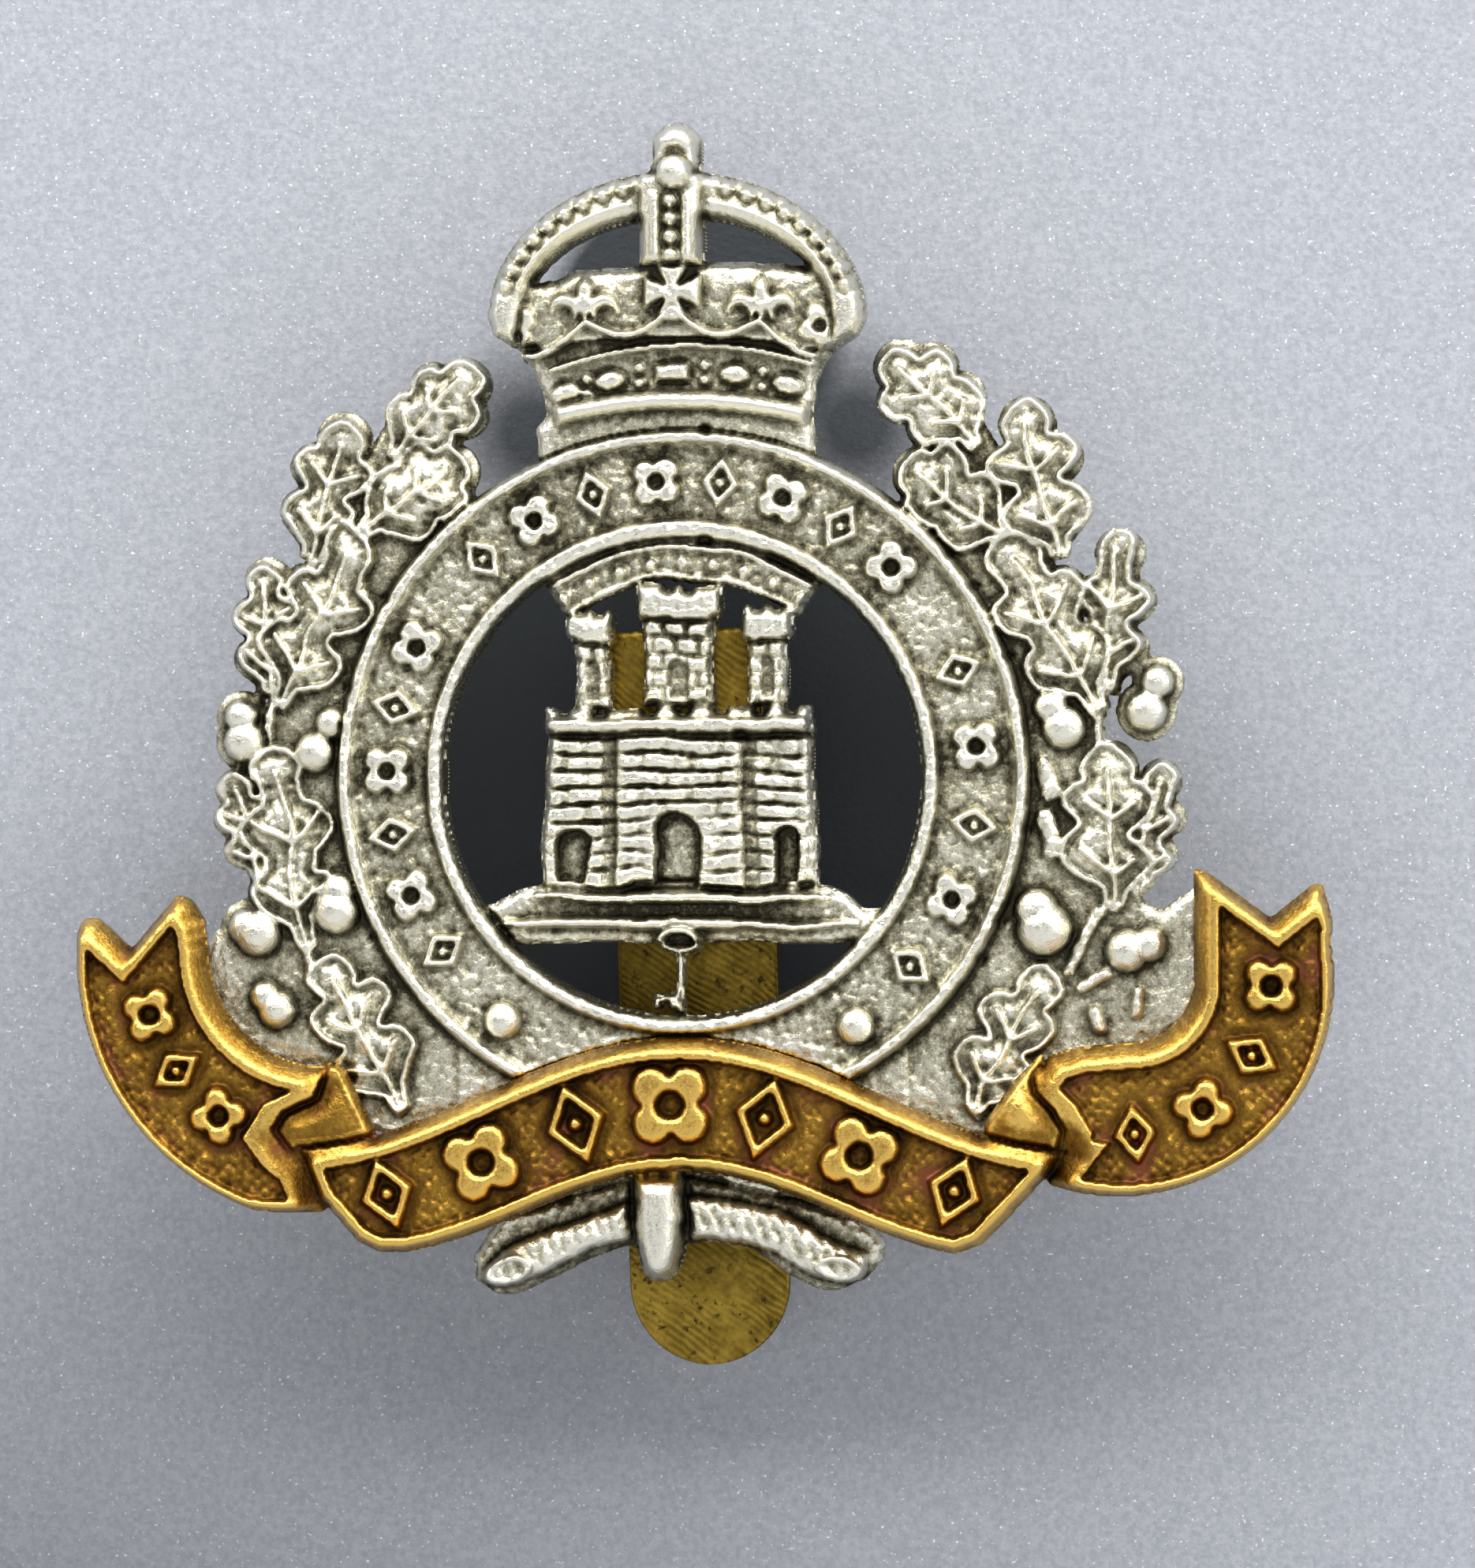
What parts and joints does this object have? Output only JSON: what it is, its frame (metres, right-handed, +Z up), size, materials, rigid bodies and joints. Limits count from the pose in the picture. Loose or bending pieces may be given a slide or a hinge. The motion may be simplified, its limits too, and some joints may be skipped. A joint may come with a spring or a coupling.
{
  "type": "cap_badge",
  "caption": "Bi-metal other-ranks cap badge: crown over a circlet with a castle, oak wreath, brass ribbon scroll and sprung brass slider",
  "frame": {"origin": "centre of the circlet on the flat back plane of the pressed sheet; the crown is up +Z, the face looks along -Y, the viewer's right is +X", "axes": "+Z up to the crown, -Y out of the face, +Y out of the back towards the slider, +X to the viewer's right"},
  "size_m": [0.0459, 0.0059, 0.0454],
  "materials": {
    "white_metal": "die-struck white metal, polished high points, dark oxide in the hollows",
    "gilding_metal": "die-struck gilding metal, rubbed bright on the raised lines, brown patina in the field",
    "slider_brass": "flat brass strip, dull olive-brown tarnish with filing marks",
    "solder": "run hard solder, satin grey"
  },
  "bodies": {
    "badge": {"circlet": "white_metal", "circlet_ornaments": "white_metal", "circlet_pellets": "white_metal", "castle_wall": "white_metal", "castle_battlement": "white_metal", "castle_tower_left": "white_metal", "castle_tower_centre": "white_metal", "castle_tower_right": "white_metal", "castle_rock": "white_metal", "castle_label": "white_metal", "label_ornaments": "white_metal", "key": "white_metal", "crown_arch_left": "white_metal", "crown_arch_right": "white_metal", "crown_arch_centre": "white_metal", "crown_pearls": "white_metal", "crown_cap": "white_metal", "crown_fleurs": "white_metal", "crown_cross_pattee": "white_metal", "crown_ridge": "white_metal", "crown_band": "white_metal", "crown_jewels": "white_metal", "crown_foot": "white_metal", "crown_orb": "white_metal", "crown_cross": "white_metal", "wreath_back_left": "white_metal", "wreath_back_right": "white_metal", "leaves_left": "white_metal", "leaves_right": "white_metal", "acorns_left": "white_metal", "acorns_right": "white_metal", "twigs_left": "white_metal", "twigs_right": "white_metal", "scroll_web": "white_metal", "stalk_left": "white_metal", "stalk_right": "white_metal", "tie_band": "white_metal", "scroll_centre": "gilding_metal", "scroll_left": "gilding_metal", "scroll_right": "gilding_metal", "scroll_fold_left": "gilding_metal", "scroll_fold_right": "gilding_metal", "scroll_borders": "gilding_metal", "scroll_ornaments_centre": "gilding_metal", "scroll_ornaments_left": "gilding_metal", "scroll_ornaments_right": "gilding_metal", "scroll_solder_left": "solder", "scroll_solder_right": "solder", "slider_foot": "slider_brass", "slider_braze": "solder"},
    "slider": {"slider_blade": "slider_brass"}
  },
  "joints": [
    {"name": "slider_flex", "type": "hinge", "parent": "badge", "child": "slider", "pos_m": [0.0001, 0.00248, -0.00267], "axis": [0.9993, 0, 0.0384], "range_deg": [-2, 6], "stiffness_Nm_per_rad": 0.015}
  ]
}
